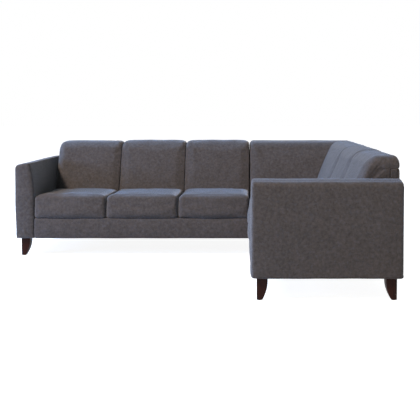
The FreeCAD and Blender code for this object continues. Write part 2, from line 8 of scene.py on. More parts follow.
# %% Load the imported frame
import bmesh
import bpy
import math
import numpy as np
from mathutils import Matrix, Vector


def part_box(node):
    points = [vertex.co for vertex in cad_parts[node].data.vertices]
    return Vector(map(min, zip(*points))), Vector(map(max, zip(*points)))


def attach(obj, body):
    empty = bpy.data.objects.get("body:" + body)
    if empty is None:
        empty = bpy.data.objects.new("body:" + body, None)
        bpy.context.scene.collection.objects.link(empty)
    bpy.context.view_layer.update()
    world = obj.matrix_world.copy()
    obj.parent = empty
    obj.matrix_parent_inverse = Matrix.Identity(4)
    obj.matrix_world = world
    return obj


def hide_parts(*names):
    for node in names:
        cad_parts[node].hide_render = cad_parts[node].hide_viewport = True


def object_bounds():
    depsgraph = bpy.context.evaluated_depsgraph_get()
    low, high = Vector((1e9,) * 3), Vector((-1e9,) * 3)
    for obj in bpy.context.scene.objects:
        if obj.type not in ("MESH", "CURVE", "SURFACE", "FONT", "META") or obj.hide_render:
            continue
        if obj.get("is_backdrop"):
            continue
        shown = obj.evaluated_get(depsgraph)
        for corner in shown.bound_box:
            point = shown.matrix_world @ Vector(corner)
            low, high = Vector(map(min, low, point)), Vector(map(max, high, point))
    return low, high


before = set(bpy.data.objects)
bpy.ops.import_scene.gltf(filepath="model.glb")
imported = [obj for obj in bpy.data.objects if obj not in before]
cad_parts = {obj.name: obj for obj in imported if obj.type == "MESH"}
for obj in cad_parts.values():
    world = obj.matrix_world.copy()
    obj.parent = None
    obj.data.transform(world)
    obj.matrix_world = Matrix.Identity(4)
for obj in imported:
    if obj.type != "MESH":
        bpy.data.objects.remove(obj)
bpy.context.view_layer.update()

for left_over in ("Cube", "Light", "Camera"):
    if left_over in bpy.data.objects:
        bpy.data.objects.remove(bpy.data.objects[left_over])

# %% [markdown]
# ## Where the three units stand
# A maker draws each unit by itself: u runs along its front, v runs from the front to the rear. The long
# unit and the corner look the same way, and the return is turned a quarter to the right. The frame's own
# boxes say where each unit starts, so nothing is fitted by eye.

# %% Places of the units
fit_gap = 0.0003
arm_height = 0.598
left_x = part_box("left_arm_cover")[0].x
corner_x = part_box("corner_seat_deck")[0].x - fit_gap
front_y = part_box("corner_seat_deck")[0].y - fit_gap
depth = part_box("corner_outside_back")[1].y - front_y
base_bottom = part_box("long_front_rail")[0].z
base_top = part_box("long_seat_deck")[1].z + fit_gap
arm_top = base_bottom + arm_height
back_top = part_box("long_back_cushion_2")[1].z
seat_width = 0.565
arm_width = 0.146
long_run = corner_x - left_x
return_run = 2 * seat_width + arm_width


def in_long(u, v, z):
    return left_x + u, front_y + v, z


def in_corner(u, v, z):
    return corner_x + u, front_y + v, z


def in_return(u, v, z):
    return corner_x + v, front_y - u, z


print("long unit", round(long_run, 3), "return", round(return_run, 3), "depth", round(depth, 3))

# %% [markdown]
# ## A closed skin of even quads
# Cloth bends well only where the mesh is even. A remeshed solid would lose its seams, so each soft piece
# is laid up instead as a stack of rings with the same number of points, closed at both ends with a woven
# patch of quads. Every ring has four sides, and the patch fills between the four sides.

# %% Rings and skins
def spread(points, count):
    """Evenly spaced points along a polyline, with both of its ends."""
    points = np.asarray(points, float)
    steps = np.linalg.norm(np.diff(points, axis=0), axis=1)
    along = np.concatenate([[0.0], np.cumsum(steps)])
    wanted = np.linspace(0.0, along[-1], count + 1)
    return np.stack([np.interp(wanted, along, points[:, k]) for k in range(2)], axis=1)


def ring(sides, across, up):
    cells = (across, up, across, up)
    return np.concatenate([spread(side, n)[:-1] for side, n in zip(sides, cells)])


def bowed(a, b, rise, count=12):
    """A shallow arc from a to b that stands out by rise on its left."""
    a, b = np.array(a, float), np.array(b, float)
    t = np.linspace(0.0, 1.0, count + 1)[:, None]
    chord = b - a
    left = np.array([-chord[1], chord[0]]) / np.linalg.norm(chord)
    return a + chord * t + left * rise * 4 * t * (1 - t)


def rounded(centre, radius, start, end, count=8):
    """Points of a round corner, with its angles in degrees."""
    angles = np.radians(np.linspace(start, end, count + 1))
    return np.stack([centre[0] + radius * np.cos(angles), centre[1] + radius * np.sin(angles)], axis=1)


def end_patch(edge, across, up, dome):
    """The points inside a ring, filled between its four sides, and the grid of their numbers."""
    around = len(edge)
    numbers = np.full((across + 1, up + 1), -1)
    numbers[:, 0] = np.arange(across + 1)
    numbers[across, :] = across + np.arange(up + 1)
    numbers[:, up] = 2 * across + up - np.arange(across + 1)
    numbers[0, :] = (2 * across + 2 * up - np.arange(up + 1)) % around
    low, high = edge[numbers[:, 0]], edge[numbers[:, up]]
    left, right = edge[numbers[0, :]], edge[numbers[across, :]]
    inner = []
    for i in range(1, across):
        s = i / across
        for j in range(1, up):
            t = j / up
            sides = (1 - t) * low[i] + t * high[i] + (1 - s) * left[j] + s * right[j]
            corners = (1 - t) * ((1 - s) * low[0] + s * low[-1]) + t * ((1 - s) * high[0] + s * high[-1])
            lift = math.sqrt(math.sin(math.pi * s) * math.sin(math.pi * t))
            numbers[i, j] = around + len(inner)
            inner.append(sides - corners + np.array(dome) * lift)
    return inner, numbers


def closed_skin(name, rings, across, up, domes=((0, 0, 0), (0, 0, 0))):
    """A closed mesh of quads through the rings, with a patch over its first and its last ring."""
    rings = np.asarray(rings, float)
    count, around = rings.shape[:2]
    points = list(rings.reshape(-1, 3))
    quads = []
    for s in range(count - 1):
        for m in range(around):
            n = (m + 1) % around
            a = s * around
            quads.append((a + m, a + n, a + around + n, a + around + m))
    for first, dome in ((0, domes[0]), ((count - 1) * around, domes[1])):
        inner, numbers = end_patch(rings[first // around], across, up, dome)
        placed = np.where(numbers < around, numbers + first, numbers - around + len(points))
        points.extend(inner)
        for i in range(across):
            for j in range(up):
                quad = (placed[i, j], placed[i + 1, j], placed[i + 1, j + 1], placed[i, j + 1])
                quads.append(tuple(int(q) for q in (quad[::-1] if first == 0 else quad)))
    return sewn_mesh(name, points, quads)


def sewn_mesh(name, points, quads):
    mesh = bpy.data.meshes.new(name)
    mesh.from_pydata([tuple(p) for p in points], [], quads)
    shape = bmesh.new()
    shape.from_mesh(mesh)
    bmesh.ops.recalc_face_normals(shape, faces=shape.faces)
    shape.to_mesh(mesh)
    shape.free()
    mesh.polygons.foreach_set("use_smooth", [True] * len(mesh.polygons))
    piece = bpy.data.objects.new(name, mesh)
    bpy.context.scene.collection.objects.link(piece)
    return piece


def points_of(piece):
    flat = np.zeros(len(piece.data.vertices) * 3)
    piece.data.vertices.foreach_get("co", flat)
    return flat.reshape(-1, 3)


def set_points(piece, points):
    piece.data.vertices.foreach_set("co", np.asarray(points, float).ravel())
    piece.data.update()


def normals_of(piece):
    flat = np.zeros(len(piece.data.vertices) * 3)
    piece.data.vertex_normals.foreach_get("vector", flat)
    return flat.reshape(-1, 3)


def settled(piece):
    """Keep what the modifiers make as the piece's own mesh."""
    seen = piece.evaluated_get(bpy.context.evaluated_depsgraph_get())
    made = bpy.data.meshes.new_from_object(seen)
    piece.modifiers.clear()
    piece.data = made
    return piece


def finer(piece):
    step = piece.modifiers.new("Finer", "SUBSURF")
    step.levels = step.render_levels = 1
    return settled(piece)


print("skin tools ready")

# %% [markdown]
# ## Blowing up the foam
# A foam core is cut a little too large for its cover, so the finished cushion is tight and slightly
# round. The cloth solver does the same: the skin gets air pressure inside for twenty frames. The travel
# of each point is capped, so that a firm cushion doesn't turn into a balloon, and the points that the
# maker tacks to the frame are held.

# %% Cloth under pressure
swell_frames = 20
foam_pressure, foam_swell = 3.0, 0.006
wave_count, wave_level = 7, 3.0


def plump(piece, pressure, cap, held=None):
    start = points_of(piece)
    cloth = piece.modifiers.new("Cloth", "CLOTH")
    work = cloth.settings
    work.quality = 5
    work.use_pressure = True
    work.uniform_pressure_force = pressure
    work.effector_weights.gravity = 0.0
    if held is not None:
        group = piece.vertex_groups.new(name="tacked")
        group.add([int(n) for n in np.nonzero(held)[0]], 1.0, "REPLACE")
        work.vertex_group_mass = group.name
    for step in range(1, swell_frames + 1):
        bpy.context.scene.frame_set(step)
    seen = piece.evaluated_get(bpy.context.evaluated_depsgraph_get())
    swollen = np.zeros(start.size)
    seen.data.vertices.foreach_get("co", swollen)
    travel = swollen.reshape(-1, 3) - start
    length = np.linalg.norm(travel, axis=1)
    piece.modifiers.clear()
    piece.vertex_groups.clear()
    share = np.minimum(1.0, cap / np.maximum(length, 1e-9))
    set_points(piece, start + travel * share[:, None])
    bpy.context.scene.frame_set(1)
    print(piece.name, "swelled", round(float(length.max()) * 1000, 1), "mm, kept to", cap * 1000)


def uneven(piece, seed, amount, spacing):
    """Slight hollows and swells of hand-filled work, as a few crossing waves."""
    points, draw = points_of(piece), np.random.default_rng(seed)
    height = np.zeros(len(points))
    for _ in range(wave_count):
        direction = draw.normal(size=3)
        direction *= 2 * math.pi / (spacing * draw.uniform(0.7, 1.6) * np.linalg.norm(direction))
        height += np.sin(points @ direction + draw.uniform(0, 2 * math.pi))
    set_points(piece, points + normals_of(piece) * (height * amount / wave_level)[:, None])


print("cloth solver", "in use")

# %% [markdown]
# ## Nodes without a tangle
# A material is a small chain of nodes. The helper below adds a node, sets its plain values and links the
# rest, so that each finish further down reads like a recipe.

# %% A short way to write nodes
class Recipe:
    """One material, built node by node."""

    def __init__(self, name):
        self.material = bpy.data.materials.new(name)
        self.material.use_nodes = True
        self.tree = self.material.node_tree
        self.shader = self.tree.nodes["Principled BSDF"]

    def node(self, kind, settings=None, **inputs):
        made = self.tree.nodes.new("ShaderNode" + kind)
        for key, value in (settings or {}).items():
            setattr(made, key, value)
        for key, value in inputs.items():
            self.put(made.inputs[int(key[1:]) if key[1:].isdigit() else key.replace("_", " ")], value)
        return made

    def put(self, socket, value):
        if isinstance(value, bpy.types.NodeSocket):
            self.tree.links.new(value, socket)
        else:
            socket.default_value = value

    def sums(self, operation, first, second=0.0):
        return self.node("Math", {"operation": operation}, i0=first, i1=second).outputs[0]

    def humps(self, along, pitch):
        """Round tops in a row, one for each thread or rib."""
        return self.sums("ABSOLUTE", self.sums("SINE", self.sums("MULTIPLY", along, pitch)))

    def either(self, share, first, second):
        made = self.node("Mix", i0=share)
        self.put(made.inputs[2], first)
        self.put(made.inputs[3], second)
        return made.outputs[0]

    def blend(self, share, first, second, mode="MIX"):
        made = self.node("Mix", {"data_type": "RGBA", "blend_type": mode})
        self.put(made.inputs["Factor"], share)
        self.put(made.inputs[6], first)
        self.put(made.inputs[7], second)
        return made.outputs[2]

    def noise(self, place, scale, detail=2.0, roughness=0.5):
        made = self.node("TexNoise", Vector=place, Scale=scale, Detail=detail, Roughness=roughness)
        return made.outputs["Fac"]

    def ramp(self, value, stops):
        made = self.node("ValToRGB", Fac=value)
        points = made.color_ramp.elements
        while len(points) < len(stops):
            points.new(0.5)
        for point, (place, colour) in zip(points, stops):
            point.position = place
            point.color = (*colour, 1.0)
        return made.outputs["Color"]

    def finish(self, colour, height, strength, reach, **shader):
        bump = self.node("Bump", Height=height, Strength=strength, Distance=reach)
        self.put(self.shader.inputs["Base Color"], colour)
        self.put(self.shader.inputs["Normal"], bump.outputs["Normal"])
        for key, value in shader.items():
            self.put(self.shader.inputs[key.replace("_", " ")], value)
        return self.material


print("recipe ready")

# %% [markdown]
# ## The heather cloth
# The cover is a plain weave of mixed yarns: charcoal, warm grey and a little blue-grey, so from across
# a room it reads as one quiet grey with a grain in it. It could be an image laid on with UVs, but the
# cushions have none. Here every face takes its two thread directions from the axis that it looks along,
# and each thread gets its own shade, which changes slowly along its length as real slub yarn does.

# %% Heather cloth
thread = 0.0021
yarn_drift, yarn_step = 26.0, 0.73


def thread_plane(r):
    """Two lengths across the cloth, picked by the axis that the face looks along."""
    place = r.node("TexCoord")
    where = r.node("SeparateXYZ", Vector=place.outputs["Object"])
    look = r.node("SeparateXYZ", Vector=place.outputs["Normal"])
    x, y, z = where.outputs
    size = [r.sums("ABSOLUTE", look.outputs[k]) for k in range(3)]
    faces_x = r.sums("GREATER_THAN", size[0], size[1])
    faces_up = r.sums("GREATER_THAN", size[2], r.sums("MAXIMUM", size[0], size[1]))
    across = r.either(faces_up, r.either(faces_x, x, y), x)
    along = r.either(faces_up, z, y)
    return place.outputs["Object"], across, along


def yarn_shade(r, across, along, shift):
    """A shade that is new for each thread and drifts slowly along it."""
    number = r.sums("FLOOR", r.sums("DIVIDE", across, thread))
    run = r.sums("MULTIPLY", along, yarn_drift)
    spot = r.node("CombineXYZ", X=r.sums("MULTIPLY", number, yarn_step), Y=run, Z=shift)
    return r.noise(spot.outputs[0], 1.0, 3.0, 0.6)


def heather_cloth(name, dark, middle, light, cool, height=0.45):
    r = Recipe(name)
    place, across, along = thread_plane(r)
    warp, weft = yarn_shade(r, across, along, 0.0), yarn_shade(r, along, across, 9.0)
    column, row = (r.sums("DIVIDE", way, thread) for way in (across, along))
    crossing = r.sums("ADD", r.sums("FLOOR", column), r.sums("FLOOR", row))
    over = r.sums("FLOORED_MODULO", crossing, 2.0)
    shade = r.either(over, warp, weft)
    tuft = r.noise(place, 95.0, 3.0, 0.62)
    patch = r.noise(place, 14.0, 2.0, 0.5)
    slub = r.noise(place, 50.0, 3.0, 0.6)
    tone = r.sums("ADD", r.sums("MULTIPLY", shade, 0.62), r.sums("MULTIPLY", tuft, 0.38))
    colour = r.ramp(tone, ((0.30, dark), (0.48, middle), (0.60, middle), (0.78, light)))
    fleck = r.ramp(r.noise(place, 60.0, 2.0, 0.7), ((0.52, (0, 0, 0)), (0.72, (1, 1, 1))))
    colour = r.blend(r.sums("MULTIPLY", fleck, 0.55), colour, (*cool, 1.0))
    dimmer = r.sums("ADD", r.sums("MULTIPLY", patch, 0.24), r.sums("ADD", slub, 0.38))
    grey = r.node("CombineColor", Red=dimmer, Green=dimmer, Blue=dimmer)
    colour = r.blend(1.0, colour, grey.outputs[0], "MULTIPLY")
    raised = r.either(over, r.humps(column, math.pi), r.humps(row, math.pi))
    relief = r.sums("ADD", raised, r.sums("MULTIPLY", tuft, 0.9))
    return r.finish(
        colour, relief, height, thread * 0.35, Roughness=0.95, Specular_IOR_Level=0.10,
        Sheen_Weight=0.42, Sheen_Roughness=0.40, Sheen_Tint=(0.86, 0.90, 1.0, 1.0),
    )


charcoal, warm_grey, pale_grey = (0.045, 0.042, 0.042), (0.100, 0.092, 0.090), (0.185, 0.172, 0.165)
blue_grey = (0.105, 0.110, 0.128)
heather = heather_cloth("heather_cloth", charcoal, warm_grey, pale_grey, blue_grey)
felt_shades = (0.030, 0.030, 0.032), (0.052, 0.052, 0.055), (0.085, 0.085, 0.090), (0.050, 0.054, 0.062)
felt = heather_cloth("deck_felt", *felt_shades, height=0.25)
print("cloths", heather.name, felt.name)

# %% [markdown]
# ## The plain finishes
# Legs are stained a dark red-brown under a satin lacquer, and the grain runs down them. The timber that
# nobody sees is pale sawn softwood. Straps, the cloth underneath, plastic and zinc each need only a short
# recipe, but each still has its own grain: ribs, fibres, a moulded haze or the spangle of the plating.

# %% Wood, straps, plastic and zinc
strap_ribs = 900.0


def wood(name, pale, dark, scale, **shader):
    r = Recipe(name)
    place = r.node("TexCoord").outputs["Object"]
    drawn = r.node("Mapping", Vector=place)
    drawn.inputs["Scale"].default_value = scale
    rings = r.noise(drawn.outputs[0], 14.0, 4.0, 0.55)
    pores = r.noise(drawn.outputs[0], 120.0, 2.0, 0.6)
    colour = r.ramp(rings, ((0.30, dark), (0.52, pale), (0.70, dark)))
    colour = r.blend(0.35, colour, r.ramp(pores, ((0.35, dark), (0.65, pale))), "MULTIPLY")
    return r.finish(colour, pores, 0.18, 0.0004, **shader)


def plain_grain(name, dark, light, scale, strength, **shader):
    r = Recipe(name)
    place = r.node("TexCoord").outputs["Object"]
    grain = r.noise(place, scale, 3.0, 0.6)
    return r.finish(r.ramp(grain, ((0.35, dark), (0.65, light))), grain, strength, 0.0005, **shader)


def strap_webbing():
    r = Recipe("strap_webbing")
    place, across, along = thread_plane(r)
    ribs = r.humps(r.sums("ADD", across, along), strap_ribs)
    fibres = r.noise(place, 400.0, 2.0)
    tone = r.sums("MULTIPLY", r.sums("ADD", ribs, fibres), 0.5)
    colour = r.ramp(tone, ((0.2, (0.055, 0.05, 0.045)), (0.8, (0.21, 0.19, 0.165))))
    return r.finish(colour, tone, 0.5, 0.0006, Roughness=0.85)


stained = wood(
    "stained_wood", (0.046, 0.0120, 0.0065), (0.018, 0.0050, 0.0035), (6.0, 6.0, 0.8),
    Roughness=0.46, Specular_IOR_Level=0.12,
)
softwood = wood("sawn_softwood", (0.52, 0.38, 0.23), (0.40, 0.27, 0.15), (1.0, 5.0, 5.0), Roughness=0.75)
webbing = strap_webbing()
dust_cloth = plain_grain(
    "dust_cloth", (0.012, 0.012, 0.013), (0.035, 0.035, 0.038), 420.0, 0.6, Roughness=0.95
)
support_plastic = plain_grain(
    "support_plastic", (0.012, 0.012, 0.012), (0.022, 0.022, 0.022), 260.0, 0.15, Roughness=0.42
)
glide_plastic = plain_grain(
    "glide_plastic", (0.05, 0.048, 0.045), (0.085, 0.08, 0.075), 240.0, 0.12, Roughness=0.5
)
zinc = plain_grain(
    "zinc_steel", (0.40, 0.41, 0.43), (0.66, 0.67, 0.68), 160.0, 0.12, Metallic=1.0, Roughness=0.38
)
finishes = (stained, softwood, webbing, dust_cloth, support_plastic, glide_plastic, zinc)
print("finishes", [finish.name for finish in finishes])


def dressed(piece, body, slot, finish, *nodes):
    """Give a piece its finish, set it on its body, and let it stand for its node of the frame."""
    piece.data.materials.clear()
    piece.data.materials.append(finish)
    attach(piece, body)
    if nodes:
        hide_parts(*nodes)
    return piece


# %% [markdown]
# ## The leaning backs
# Each back is one slab of foam that leans by about 22 degrees, rolls over at the top and laps over the
# frame behind. Seen from the side it is a profile, and the cushion is that profile carried along the seat
# and drawn in at both ends, where the cover is pulled into the valley between two backs. At a free end
# the roll is larger, because there the cover goes round the corner to the side. Small pleats run out of
# the end seams near the top, where the cover is gathered round the roll.

# %% Profile of a back
seat_depth = 0.566
back_rake = math.radians(22.3)
seat_thickness = 0.177
seat_pitch = math.radians(1.4)
seat_rear_top = base_top + seat_thickness - seat_depth * math.tan(seat_pitch)
panel_top, panel_thickness, frame_thickness = 0.790, 0.013, 0.045
panel_front = depth - panel_thickness
frame_front = panel_front - frame_thickness - fit_gap
frame_top = panel_top + fit_gap
top_roll, rear_roll = 0.100, 0.035
roll_cells, rear_cells = 24, 10
rear_swell, rear_draw, rear_step = 0.003, 0.006, 0.003


def back_face(z):
    return seat_depth + (z - seat_rear_top) * math.tan(back_rake)


def back_sides(draw, crown, top_draw, side_draw):
    """The four sides of a back's upright profile, as lengths to the rear and upwards."""
    top = back_top - draw * top_draw
    shift = draw * side_draw
    rear = depth + rear_swell - draw * rear_draw
    tangent = top_roll * math.tan((math.pi / 2 - back_rake) / 2)
    corner = back_face(top) + shift
    foot = (back_face(base_top) + shift, base_top)
    start = (corner - tangent * math.sin(back_rake), top - tangent * math.cos(back_rake))
    centre = (corner + tangent, top - top_roll)
    low_angle = 180.0 - math.degrees(back_rake)
    roll = rounded(centre, top_roll, low_angle, 90.0, roll_cells)
    turn = min(rear_roll, top - frame_top - rear_step)
    rear_arc = rounded((rear - turn, top - turn), turn, 0.0, 90.0, rear_cells)
    face = bowed(foot, start, crown)
    under = [foot, (frame_front, base_top)]
    half, rear_half = roll_cells // 2, rear_cells // 2
    ledge = [(frame_front, base_top), (frame_front, frame_top), (rear, frame_top)]
    behind = [*ledge, *rear_arc[:rear_half + 1]]
    over = [*rear_arc[rear_half:], *roll[::-1][:half + 1]]
    front = [*roll[::-1][half:], *face[::-1][1:]]
    return [under, behind, over, front]


end_angles = (8, 18, 30, 43, 57, 72, 90)


def end_steps(width, cell, runs):
    """Places along a cushion and the share of the draw there: 1 at the very end, 0 where it is full."""
    places = []
    for side, run in enumerate(runs):
        for angle in end_angles:
            along = run * (1 - math.cos(math.radians(angle)))
            share = 1 - math.sin(math.radians(angle))
            places.append((width - along if side else along, (0.0, share) if side else (share, 0.0)))
    clear = width - runs[0] - runs[1]
    count = max(2, int(clear / cell))
    places += [(runs[0] + clear * n / count, (0.0, 0.0)) for n in range(1, count)]
    return sorted(places)


back_cell = 0.0115
back_across, back_up = 20, 42
crown_least, crown_gain, crown_loss = 0.003, 0.006, 0.6
valley = {"run": 0.032, "top": 0.046, "side": 0.020, "pleat": 0.0016}
free_end = {"run": 0.052, "top": 0.060, "side": 0.042, "pleat": 0.0013}


def back_skin(name, width, ends):
    """One back in its unit's own lengths, starting at u = 0."""
    rings = []
    for along, shares in end_steps(width, back_cell, [end["run"] for end in ends]):
        side = 0 if shares[0] >= shares[1] else 1
        draw, end = shares[side], ends[side]
        middle = math.sqrt(max(0.0, min(along, width - along) / (width / 2)))
        crown = (crown_least + crown_gain * middle) * (1 - crown_loss * draw)
        flat = ring(back_sides(draw, crown, end["top"], end["side"]), back_across, back_up)
        rings.append(np.column_stack([np.full(len(flat), along), flat]))
    return closed_skin(name, rings, back_across, back_up)


print("back profile", len(ring(back_sides(0, crown_gain, 0, 0), back_across, back_up)), "points round")

# %% Make the backs
soft_gap = 0.0008
back_width = seat_width - 2 * soft_gap
tack_reach, seam_reach = 0.004, 0.006
pleat_band, pleat_fade, pleat_reach = 0.15, 0.10, 0.024
seam_place, seam_width, seam_sunk = 0.0035, 0.0022, 0.0020


def make_back(name, ends, seed):
    piece = back_skin(name, back_width, ends)
    points = points_of(piece)
    tacked = (points[:, 1] > frame_front - tack_reach) & (points[:, 2] < frame_top + 0.01)
    tacked |= points[:, 2] < base_top + tack_reach
    for end, at in zip(ends, (0.0, back_width)):
        if end is valley:
            tacked |= np.abs(points[:, 0] - at) < seam_reach
    plump(piece, foam_pressure, foam_swell, tacked)
    finer(piece)
    uneven(piece, seed, 0.0012, 0.16)
    gathered(piece, ends, seed + 100)
    return piece


def gathered(piece, ends, seed):
    """Small pleats that run out of the upper part of a back's end seams, and a sunk seam at a free end."""
    points, normals = points_of(piece), normals_of(piece)
    draw = np.random.default_rng(seed)
    height = np.clip((points[:, 2] - (back_top - pleat_band)) / pleat_fade, 0.0, 1.0)
    across = points[:, 1] * 0.8 - points[:, 2] * 0.6
    for end, at in zip(ends, (0.0, back_width)):
        away = np.abs(points[:, 0] - at)
        phase, pitch = draw.uniform(0, 6.28), draw.uniform(0.024, 0.030)
        fan = across * (1.0 + 1.5 * away)
        waves = np.sin(2 * math.pi * fan / pitch + phase + 2.0 * np.sin(across * 31.0 + phase))
        reach = np.exp(-away / pleat_reach) * np.clip(away / tack_reach, 0, 1)
        points += normals * (waves * height * end["pleat"] * reach)[:, None]
        if end is free_end:
            sunk = seam_sunk * np.exp(-(((away - seam_place) / seam_width) ** 2))
            points -= normals * sunk[:, None]
    set_points(piece, points)


def put_in_place(piece, place, start=0.0, mirrored_width=None):
    """Move a piece from its unit's own lengths into the room."""
    points = points_of(piece)
    if mirrored_width is not None:
        points[:, 0] = mirrored_width - points[:, 0]
        piece.data.flip_normals()
    points[:, 0] += start
    set_points(piece, np.stack(place(points[:, 0], points[:, 1], points[:, 2]), axis=1))
    return piece


def inside_limits(piece, low, high):
    """Keep a cushion within its own width, clear of its neighbours."""
    points = points_of(piece)
    points[:, 0] = np.clip(points[:, 0], low, high)
    set_points(piece, points)


def copy_of(piece, name):
    twin = bpy.data.objects.new(name, piece.data.copy())
    bpy.context.scene.collection.objects.link(twin)
    return twin


backs = {
    "long_back_1": make_back("long_back_1", (free_end, valley), 11),
    "long_back_2": make_back("long_back_2", (valley, valley), 12),
}
backs["long_back_3"] = copy_of(backs["long_back_2"], "long_back_3")
backs["return_back_1"] = copy_of(backs["long_back_2"], "return_back_1")
backs["return_back_2"] = copy_of(backs["long_back_1"], "return_back_2")
for piece in backs.values():
    inside_limits(piece, 0.0, back_width)
for n in (1, 2, 3):
    put_in_place(backs[f"long_back_{n}"], in_long, arm_width + seat_width * (n - 1) + soft_gap)
put_in_place(backs["return_back_1"], in_return, soft_gap, back_width)
put_in_place(backs["return_back_2"], in_return, seat_width + soft_gap, back_width)
for name, piece in backs.items():
    node = name.replace("_back_", "_back_cushion_")
    dressed(piece, "sofa", "upholstery", heather, node)
print("backs", {name: len(piece.data.polygons) for name, piece in backs.items()})

# %% [markdown]
# ## The mitred pair in the corner
# In the corner two backs meet on the diagonal. One is made like the others and cut along the mitre, its
# open side is closed with a flat face, and the twin is its mirror image across the diagonal.

# %% Corner backs
mitre_gap = 0.0006
open_end = {"run": 0.012, "top": 0.0, "side": 0.0}


def corner_back(name):
    whole = back_skin(name, depth - soft_gap, (valley, open_end))
    points = points_of(whole)
    points[:, 0] += soft_gap
    set_points(whole, points)
    tacked = (points[:, 1] > frame_front - tack_reach) | (points[:, 2] < base_top + tack_reach)
    plump(whole, foam_pressure, foam_swell, tacked)
    points = points_of(whole)
    points[:, 0] = np.maximum(points[:, 0], soft_gap)
    set_points(whole, points)
    finer(whole)
    shape = bmesh.new()
    shape.from_mesh(whole.data)
    across = (1 / math.sqrt(2), -1 / math.sqrt(2), 0)
    parts = shape.verts[:] + shape.edges[:] + shape.faces[:]
    cut = bmesh.ops.bisect_plane(
        shape, geom=parts, plane_co=(0, mitre_gap, 0), plane_no=across, clear_outer=True
    )
    rim = [e for e in cut["geom_cut"] if isinstance(e, bmesh.types.BMEdge)]
    bmesh.ops.contextual_create(shape, geom=rim)
    bmesh.ops.recalc_face_normals(shape, faces=shape.faces)
    shape.to_mesh(whole.data)
    shape.free()
    whole.data.polygons.foreach_set("use_smooth", [True] * len(whole.data.polygons))
    return whole


corner_rear = corner_back("corner_back_rear")
uneven(corner_rear, 21, 0.0008, 0.2)
corner_side = copy_of(corner_rear, "corner_back_side")
mirror = points_of(corner_side)[:, [1, 0, 2]]
corner_side.data.flip_normals()
set_points(corner_side, mirror)
for piece, node in ((corner_rear, "corner_back_cushion_1"), (corner_side, "corner_back_cushion_2")):
    put_in_place(piece, in_corner)
    dressed(piece, "sofa", "upholstery", heather, node)
print("corner backs", len(corner_rear.data.polygons), "faces each")

# %% [markdown]
# ## The seat cushions
# A seat cushion is a boxed block of foam: straight sides, a front that bulges a little, a soft roll into
# the top and a low crown. It is laid up in level rings from the bottom to the roll, and the patch over
# the last ring is the crowned top. One cushion is blown up for all five places along the seats, and the
# larger corner seat is blown up by itself.

# %% Seat cushion pattern
seat_roll, seat_corner, seat_dome = 0.030, 0.024, 0.013
seat_cell, seat_rings = 0.0115, 11
seat_foot = 0.018
seat_overhang, front_bulge = 0.006, 0.013
roll_clearance, rear_gap = 0.009, 0.0010


def rounded_outline(left, right, front, rear, radius, bulge):
    """Four sides of a rounded rectangle, split in the middle of its round corners."""
    turns = [
        rounded((left + radius, front + radius), radius, 180, 270),
        rounded((right - radius, front + radius), radius, -90, 0),
        rounded((right - radius, rear - radius), radius, 0, 90),
        rounded((left + radius, rear - radius), radius, 90, 180),
    ]
    front_edge = bowed(turns[0][-1], turns[1][0], -bulge)
    return [
        [*turns[0][4:], *front_edge[1:-1], *turns[1][:5]],
        [*turns[1][4:], *turns[2][:5]],
        [*turns[2][4:], *turns[3][:5]],
        [*turns[3][4:], *turns[0][:5]],
    ]


def seat_levels():
    """Height, draw and share of the front bulge of each ring, from the bottom up."""
    levels = [(0.0, 0.010, 0.0), (0.003, 0.004, 0.05), (0.009, 0.001, 0.12), (seat_foot, 0.0, 0.25)]
    straight = seat_thickness - seat_roll
    for n in range(1, seat_rings + 1):
        z = seat_foot + (straight - seat_foot) * n / seat_rings
        share = 0.25 + 0.75 * math.sin(math.pi * min(1.0, 0.93 * z / straight))
        levels.append((z, 0.0, share))
    for angle in (18, 36, 54, 72, 88):
        a = math.radians(angle)
        levels.append((straight + seat_roll * math.sin(a), seat_roll * (1 - math.cos(a)), 0.40))
    return levels


def seat_skin(name, left, right, front, bulge):
    across = int((right - left) / seat_cell)
    up = int((seat_depth - front) / seat_cell)
    rings = []
    for z, draw, share in seat_levels():
        tilt = seat_pitch * min(1.0, z / seat_thickness)
        clear = back_face(base_top + z) - roll_clearance - rear_gap
        rear = clear / (1 + math.sin(tilt) * math.tan(back_rake))
        box = (left + draw, right - draw, front + draw, rear - draw)
        sides = rounded_outline(*box, seat_corner + draw * 0.3, bulge * share)
        flat = ring(sides, across, up)
        height = base_top + z - flat[:, 1] * math.sin(tilt)
        rings.append(np.column_stack([flat, height]))
    return closed_skin(name, rings, across, up, ((0, 0, 0), (0, 0, seat_dome)))


def make_seat(name, left, right, front, bulge):
    piece = seat_skin(name, left, right, front, bulge)
    plump(piece, foam_pressure, foam_swell, points_of(piece)[:, 2] < base_top + tack_reach)
    return finer(piece)


print("seat rings", len(seat_levels()))

# %% Make the seats
pattern = make_seat("long_seat_1", soft_gap, seat_width - soft_gap, -seat_overhang, front_bulge)
seats = {"long_seat_1": pattern}
for name in ("long_seat_2", "long_seat_3", "return_seat_1", "return_seat_2"):
    seats[name] = copy_of(pattern, name)
places = {
    "long_seat_1": (in_long, arm_width, None),
    "long_seat_2": (in_long, arm_width + seat_width, seat_width),
    "long_seat_3": (in_long, arm_width + 2 * seat_width, None),
    "return_seat_1": (in_return, 0.0, seat_width),
    "return_seat_2": (in_return, seat_width, None),
}
for seed, (name, piece) in enumerate(seats.items(), 31):
    place, start, mirrored = places[name]
    uneven(piece, seed, 0.0015, 0.20)
    inside_limits(piece, soft_gap, seat_width - soft_gap)
    put_in_place(piece, place, start, mirrored)
    node = name.replace("_seat_", "_seat_cushion_")
    dressed(piece, node + "_body", "upholstery", heather, node)

corner_right = back_face(base_top + 0.1) - 0.012
corner_seat = make_seat("corner_seat", soft_gap, corner_right, soft_gap, 0.0)
print("seats", len(pattern.data.polygons), "faces each, corner", len(corner_seat.data.polygons))

